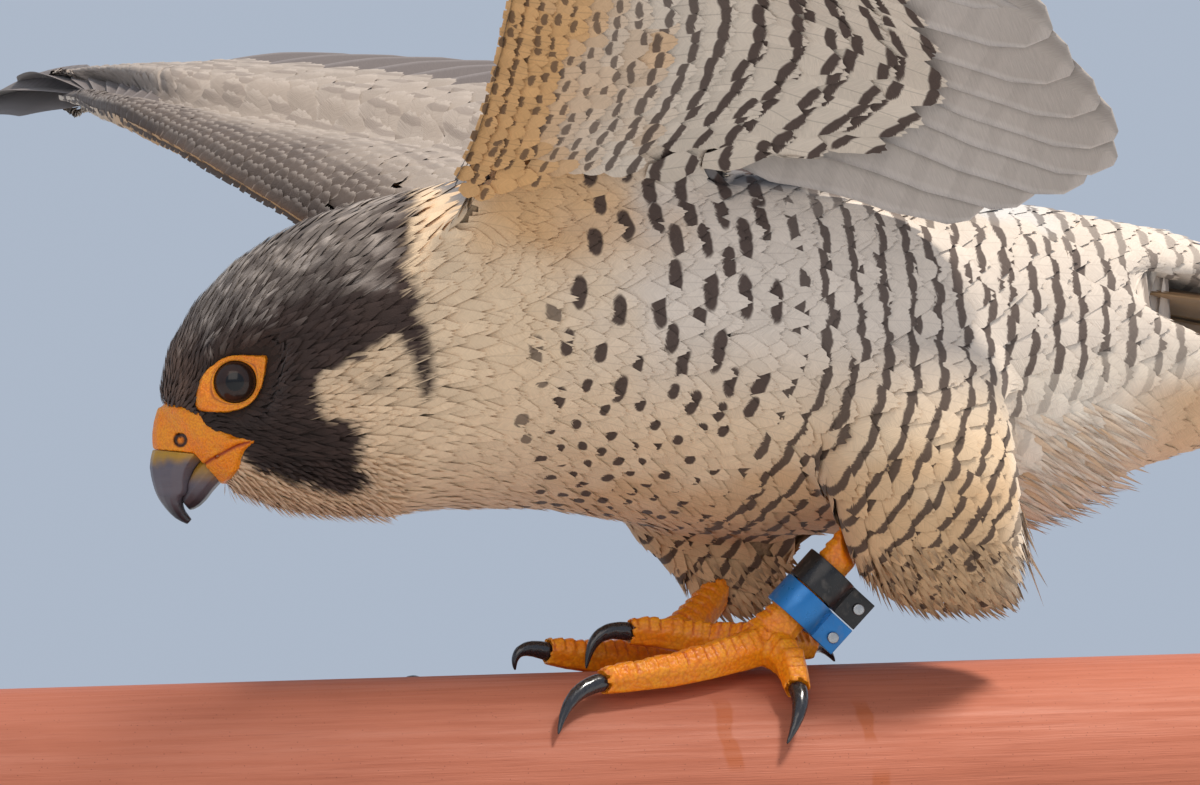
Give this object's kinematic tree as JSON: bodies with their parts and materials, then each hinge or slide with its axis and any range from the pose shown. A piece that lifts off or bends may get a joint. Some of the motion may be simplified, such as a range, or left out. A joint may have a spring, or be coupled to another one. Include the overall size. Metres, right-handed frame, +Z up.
{
  "type": "peregrine falcon",
  "caption": "life-size still peregrine falcon gripping a round rail, leaning forward with raised, spread wings, on a flat display base with short rods",
  "frame": {"origin": "the middle of the display base's flat underside", "axes": "+Z up, the bird faces -X, its left side is towards -Y, and the rail runs along X"},
  "size_m": [0.4902, 0.7015, 0.6405],
  "materials": {
    "hood_plumage": "dark slate-brown feathers with a faint silvery sheen on the crown and nape",
    "breast_plumage": "soft cream and buff feathers",
    "barred_plumage": "white-grey feathers barred and spotted dark brown",
    "tail_feathers": "blue-grey tail feathers with dark bars and pale tips",
    "wing_feathers": "slate-grey above, buff-white densely barred brown below",
    "bare_skin": "orange-yellow bare skin, scaly on the feet, slightly glossy",
    "bill_horn": "blue-grey horn, darker at the tip, satin gloss",
    "eye": "very dark brown wet eye",
    "claw_horn": "glossy black horn",
    "band_black": "black anodised metal band",
    "band_blue": "blue anodised metal band",
    "rivet_metal": "dull aluminium rivet",
    "rail_paint": "terracotta paint with a fine lengthwise grain",
    "stand_metal": "dark satin powder coat"
  },
  "bodies": {
    "root": {"head": "hood_plumage", "cere": "bare_skin", "bill_upper": "bill_horn", "bill_lower": "bill_horn", "eye_left": "eye", "eye_right": "eye", "lids_left": "bare_skin", "lids_right": "bare_skin", "neck": "breast_plumage", "torso": "barred_plumage", "tail": "tail_feathers", "wing_left": "wing_feathers", "wing_right": "wing_feathers", "thigh_left": "barred_plumage", "thigh_right": "barred_plumage", "foot_left": "bare_skin", "foot_right": "bare_skin", "claw_left_hallux": "claw_horn", "claw_left_inner": "claw_horn", "claw_left_middle": "claw_horn", "claw_left_outer": "claw_horn", "claw_right_hallux": "claw_horn", "claw_right_inner": "claw_horn", "claw_right_middle": "claw_horn", "claw_right_outer": "claw_horn", "leg_band_upper": "band_black", "leg_band_lower": "band_blue", "leg_band_rivet_upper": "rivet_metal", "leg_band_rivet_lower": "rivet_metal", "perch_rail": "rail_paint", "stand_base": "stand_metal", "stand_rod_front": "stand_metal", "stand_rod_back": "stand_metal"}
  },
  "joints": []
}
